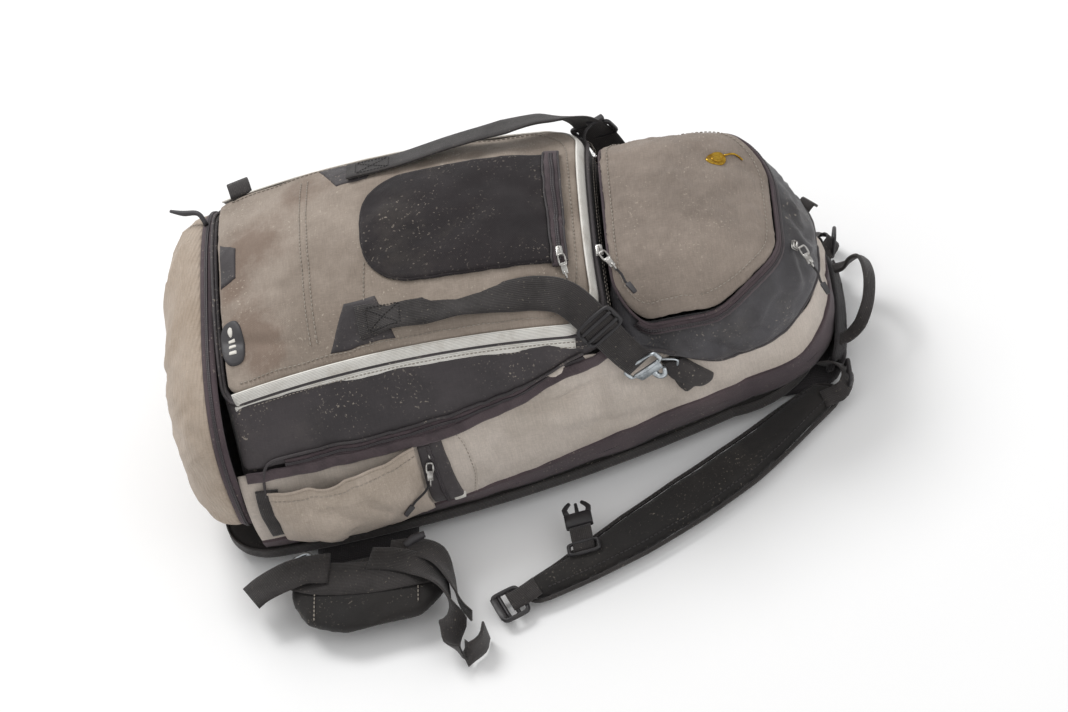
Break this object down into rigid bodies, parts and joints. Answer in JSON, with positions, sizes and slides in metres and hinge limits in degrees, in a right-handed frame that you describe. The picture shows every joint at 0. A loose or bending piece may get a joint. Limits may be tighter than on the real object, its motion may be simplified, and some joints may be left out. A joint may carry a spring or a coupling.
{
  "type": "avalanche airbag backpack",
  "caption": "Ski-touring backpack with padded harness, zipped front flap, top pocket, side pockets and ski straps, holding an avalanche airbag system.",
  "frame": {"origin": "middle of the spine pad's flat back face, which lies on the floor", "axes": "+X along the pack towards its head end, +Z out of its front, -Y towards the wearer's right"},
  "size_m": [0.6178, 0.5806, 0.2391],
  "materials": {
    "taupe_cloth": "matt woven polyester with dust and mud stains",
    "sand_cloth": "lighter smooth woven polyester",
    "dark_cloth": "black ripstop cloth",
    "stretch_cloth": "black stretch cloth",
    "plum_tape": "plum-brown coated zip tape",
    "white_tape": "off-white piping",
    "webbing": "black polyester webbing",
    "harness_foam": "foam pads covered in black mesh",
    "buckle_plastic": "black acetal",
    "sheet_plastic": "natural polyethylene sheet",
    "hose_plastic": "black braided hose",
    "aluminium": "brushed and anodised aluminium",
    "zip_metal": "worn die-cast zip metal",
    "airbag_cloth": "orange coated nylon",
    "cylinder_paint": "painted pressure cylinder",
    "trigger_plastic": "red moulded handle"
  },
  "bodies": {
    "harness": {"spine_pad": "harness_foam", "back_pad_right": "harness_foam", "back_pad_left": "harness_foam", "lumbar_pad": "harness_foam", "back_panel": "dark_cloth", "frame_sheet": "sheet_plastic", "stay_right": "aluminium", "stay_left": "aluminium", "shoulder_yoke": "harness_foam", "load_lifter_right": "buckle_plastic", "load_lifter_left": "buckle_plastic", "hip_base_right": "harness_foam", "hip_base_left": "harness_foam", "folded_airbag": "airbag_cloth", "gas_cylinder": "cylinder_paint", "release_head": "aluminium", "inflation_hose": "hose_plastic"},
    "haul_loop": {"haul_loop": "webbing"},
    "shoulder_strap_right": {"shoulder_strap_right": "harness_foam", "ladder_lock_right": "buckle_plastic"},
    "shoulder_strap_left": {"shoulder_strap_left": "harness_foam", "ladder_lock_left": "buckle_plastic", "trigger_sleeve": "dark_cloth"},
    "trigger_handle": {"trigger_handle": "trigger_plastic"},
    "sternum_right": {"sternum_buckle_male": "buckle_plastic"},
    "sternum_left": {"sternum_buckle_female": "buckle_plastic"},
    "hip_wing_right": {"hip_wing_right": "harness_foam", "hip_buckle_female": "buckle_plastic", "adjuster_webbing_right": "webbing"},
    "hip_wing_left": {"hip_wing_left": "harness_foam", "hip_buckle_male": "buckle_plastic", "adjuster_webbing_left": "webbing"},
    "bag": {"main_compartment": "sand_cloth", "back_zip_band": "plum_tape", "bottom_compartment": "sand_cloth", "bottom_zip_band": "plum_tape", "tool_compartment": "dark_cloth", "top_pocket_tray": "dark_cloth", "side_pocket_right": "taupe_cloth", "side_pocket_left": "taupe_cloth", "hook_anchor_right": "webbing", "hook_anchor_left": "webbing", "tray_zip_tape": "white_tape"},
    "front_flap": {"front_flap": "taupe_cloth", "stretch_pocket": "stretch_cloth", "pocket_zip_tape": "plum_tape", "flap_zip_tape": "white_tape"},
    "top_pocket_cover": {"top_pocket_cover": "taupe_cloth"},
    "ski_strap_right": {"ski_strap_right": "webbing", "ski_hook_right": "aluminium"},
    "ski_strap_left": {"ski_strap_left": "webbing", "ski_hook_left": "aluminium"},
    "flap_zip_slider": {"flap_zip_slider": "zip_metal"},
    "flap_zip_pull": {"flap_zip_pull": "zip_metal"},
    "pocket_zip_slider": {"pocket_zip_slider": "zip_metal"},
    "pocket_zip_pull": {"pocket_zip_pull": "zip_metal"},
    "side_zip_slider": {"side_zip_slider": "zip_metal"},
    "side_zip_pull": {"side_zip_pull": "zip_metal"},
    "top_zip_slider": {"top_zip_slider": "zip_metal"},
    "top_zip_pull": {"top_zip_pull": "zip_metal"}
  },
  "joints": [
    {"name": "back_access_hinge", "type": "hinge", "parent": "harness", "child": "bag", "pos_m": [-0.2895, 0, 0.0246], "axis": [0, -1, 0], "range_deg": [0, 50]},
    {"name": "flap_hinge", "type": "hinge", "parent": "bag", "child": "front_flap", "pos_m": [-0.2385, 0, 0.1955], "axis": [0, -1, 0], "range_deg": [0, 120]},
    {"name": "top_pocket_hinge", "type": "hinge", "parent": "bag", "child": "top_pocket_cover", "pos_m": [0.1055, 0, 0.197], "axis": [0, -1, 0], "range_deg": [0, 48]},
    {"name": "haul_loop_hinge", "type": "hinge", "parent": "harness", "child": "haul_loop", "pos_m": [0.285, 0, 0.034], "axis": [0, 1, 0], "range_deg": [-45, 45]},
    {"name": "hip_wing_right_hinge", "type": "hinge", "parent": "harness", "child": "hip_wing_right", "pos_m": [-0.155, -0.18, 0.008], "axis": [-1, 0, 0], "range_deg": [0, 38]},
    {"name": "hip_wing_left_hinge", "type": "hinge", "parent": "harness", "child": "hip_wing_left", "pos_m": [-0.155, 0.18, 0.008], "axis": [1, 0, 0], "range_deg": [0, 38]},
    {"name": "shoulder_strap_right_hinge", "type": "hinge", "parent": "harness", "child": "shoulder_strap_right", "pos_m": [0.234, -0.102, 0.01], "axis": [-0.456, 0.89, 0], "range_deg": [0, 20]},
    {"name": "shoulder_strap_left_hinge", "type": "hinge", "parent": "harness", "child": "shoulder_strap_left", "pos_m": [0.234, 0.102, 0.01], "axis": [0.456, 0.89, 0], "range_deg": [0, 20]},
    {"name": "sternum_right_slide", "type": "slide", "parent": "shoulder_strap_right", "child": "sternum_right", "axis": [-0.9139, -0.406, 0], "range_m": [-0.015, 0.03]},
    {"name": "sternum_left_slide", "type": "slide", "parent": "shoulder_strap_left", "child": "sternum_left", "axis": [-0.9139, 0.406, 0], "range_m": [-0.015, 0.03]},
    {"name": "trigger_pull", "type": "slide", "parent": "shoulder_strap_left", "child": "trigger_handle", "axis": [-0.8783, 0.4781, 0], "range_m": [0, 0.035]},
    {"name": "ski_strap_right_hinge", "type": "hinge", "parent": "front_flap", "child": "ski_strap_right", "pos_m": [-0.11224, -0.0839, 0.2095], "axis": [0, -1, 0], "range_deg": [0, 40]},
    {"name": "ski_strap_left_hinge", "type": "hinge", "parent": "front_flap", "child": "ski_strap_left", "pos_m": [-0.11227, 0.07819, 0.22799], "axis": [0, -1, 0], "range_deg": [0, 30]},
    {"name": "flap_zip_travel", "type": "hinge", "parent": "bag", "child": "flap_zip_slider", "pos_m": [0.0992, 0.03372, -0.13431], "axis": [-1, 0, 0], "range_deg": [0, 20]},
    {"name": "flap_zip_pull_hinge", "type": "hinge", "parent": "flap_zip_slider", "child": "flap_zip_pull", "pos_m": [0.10163, -0.05244, 0.20341], "axis": [-0.8745, -0.4578, -0.1602], "range_deg": [0, 60]},
    {"name": "pocket_zip_travel", "type": "hinge", "parent": "front_flap", "child": "pocket_zip_slider", "pos_m": [0.066, 0.03034, -0.09029], "axis": [-1, 0, 0], "range_deg": [0, 26]},
    {"name": "pocket_zip_pull_hinge", "type": "hinge", "parent": "pocket_zip_slider", "child": "pocket_zip_pull", "pos_m": [0.06864, -0.0571, 0.21499], "axis": [-0.9968, -0.0704, -0.0391], "range_deg": [0, 60]},
    {"name": "side_zip_travel", "type": "slide", "parent": "bag", "child": "side_zip_slider", "axis": [0, -0.287, -0.9579], "range_m": [0, 0.025]},
    {"name": "side_zip_pull_hinge", "type": "hinge", "parent": "side_zip_slider", "child": "side_zip_pull", "pos_m": [-0.08, -0.15588, 0.09733], "axis": [-0.98, 0.0573, 0.1908], "range_deg": [0, 60]},
    {"name": "top_zip_travel", "type": "slide", "parent": "bag", "child": "top_zip_slider", "axis": [0, 1, 0], "range_m": [0, 0.055]},
    {"name": "top_zip_pull_hinge", "type": "hinge", "parent": "top_zip_slider", "child": "top_zip_pull", "pos_m": [0.26414, -0.03431, 0.14246], "axis": [-0.538, -0.5081, 0.6725], "range_deg": [0, 60]}
  ]
}
